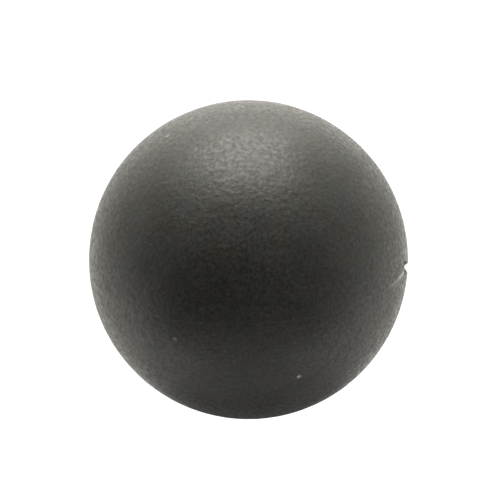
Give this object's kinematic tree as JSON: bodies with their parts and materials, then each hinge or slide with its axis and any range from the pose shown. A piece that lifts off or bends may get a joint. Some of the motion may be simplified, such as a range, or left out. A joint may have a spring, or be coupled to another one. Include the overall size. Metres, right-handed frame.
{
  "type": "case opening friction ball",
  "caption": "Hollow rubber friction ball with a bonded equatorial seam and a self-sealing needle valve, pressed on a watch to turn its screwed back.",
  "frame": {"origin": "centre of the ball, in the plane of the bonded seam", "axes": "+Z from the needle valve through the centre to the plain pole that is pressed on the watch; the nick crosses the seam 73 degrees round from -Y towards +X and runs back and down from there"},
  "size_m": [0.065, 0.065, 0.0649],
  "materials": {
    "shell_rubber": "matt charcoal rubber, finely pitted",
    "cured_cement": "smooth cured rubber cement",
    "plug_rubber": "soft tacky rubber",
    "patch_rubber": "smooth sheet rubber"
  },
  "bodies": {
    "root": {"upper_shell": "shell_rubber", "lower_shell": "shell_rubber", "rim_cement": "cured_cement", "sealing_plug": "plug_rubber", "plug_patch": "patch_rubber"}
  },
  "joints": []
}
